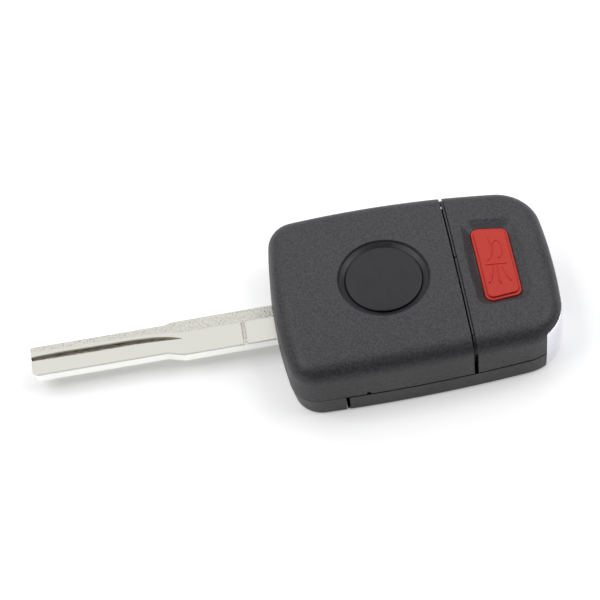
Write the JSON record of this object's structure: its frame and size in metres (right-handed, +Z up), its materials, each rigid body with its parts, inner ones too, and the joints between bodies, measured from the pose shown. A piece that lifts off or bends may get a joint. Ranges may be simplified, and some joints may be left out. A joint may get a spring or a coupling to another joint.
{
  "type": "key fob shell",
  "caption": "Remote car key: a dark plastic body in two units with a fixed steel blade, a bright end band, a badge recess and a red panic button.",
  "frame": {"origin": "middle of the body's flat underside, half way along the plastic body", "axes": "+X from the blade towards the plated end, +Z up through the side with the red button, -Y towards the viewer"},
  "size_m": [0.1105, 0.0414, 0.0157],
  "materials": {
    "shell_plastic": "fine even grain, satin",
    "tray_plastic": "fine even grain, satin",
    "trim_chrome": "bright plating",
    "blade_steel": "plain ground faces with a coarser milled rebate",
    "pin_steel": "drawn and cut",
    "screw_steel": "plain zinc",
    "panic_red": "satin",
    "badge_plastic": "smooth",
    "key_rubber": "matt",
    "board_laminate": "green solder mask",
    "cell_steel": "pressed sheet",
    "contact_metal": "thin plated strip",
    "chip_resin": "moulded resin",
    "can_metal": "plain can",
    "switch_plastic": "moulded"
  },
  "bodies": {
    "remote": {"lower_housing": "tray_plastic", "button_housing": "shell_plastic", "end_trim": "trim_chrome", "ring_pin": "pin_steel", "housing_screws": "screw_steel", "circuit_board": "board_laminate", "coin_cell": "cell_steel", "cell_clip": "contact_metal", "cell_spring": "contact_metal", "controller_chip": "chip_resin", "crystal_can": "can_metal", "panic_switch": "switch_plastic", "lock_switch": "switch_plastic", "unlock_switch": "switch_plastic", "trunk_switch": "switch_plastic"},
    "key_head": {"head_cover": "shell_plastic", "head_base": "tray_plastic", "key_blade": "blade_steel", "blade_pin": "pin_steel", "transponder_chip": "chip_resin", "badge_blank": "badge_plastic", "head_screws": "screw_steel"},
    "panic": {"panic_button": "panic_red"},
    "lock": {"lock_button": "key_rubber"},
    "unlock": {"unlock_button": "key_rubber"},
    "trunk": {"trunk_button": "key_rubber"}
  },
  "joints": [
    {"name": "head_slide", "type": "slide", "parent": "remote", "child": "key_head", "axis": [-1, 0, 0], "range_m": [0, 0.0275]},
    {"name": "panic_press", "type": "slide", "parent": "remote", "child": "panic", "axis": [0, 0, -1], "range_m": [0, 0.00045], "stiffness_N_per_m": 1500},
    {"name": "lock_press", "type": "slide", "parent": "remote", "child": "lock", "axis": [0, 0, 1], "range_m": [0, 0.00045], "stiffness_N_per_m": 1500},
    {"name": "unlock_press", "type": "slide", "parent": "remote", "child": "unlock", "axis": [0, 0, 1], "range_m": [0, 0.00045], "stiffness_N_per_m": 1500},
    {"name": "trunk_press", "type": "slide", "parent": "remote", "child": "trunk", "axis": [0, 0, 1], "range_m": [0, 0.00045], "stiffness_N_per_m": 1500}
  ]
}
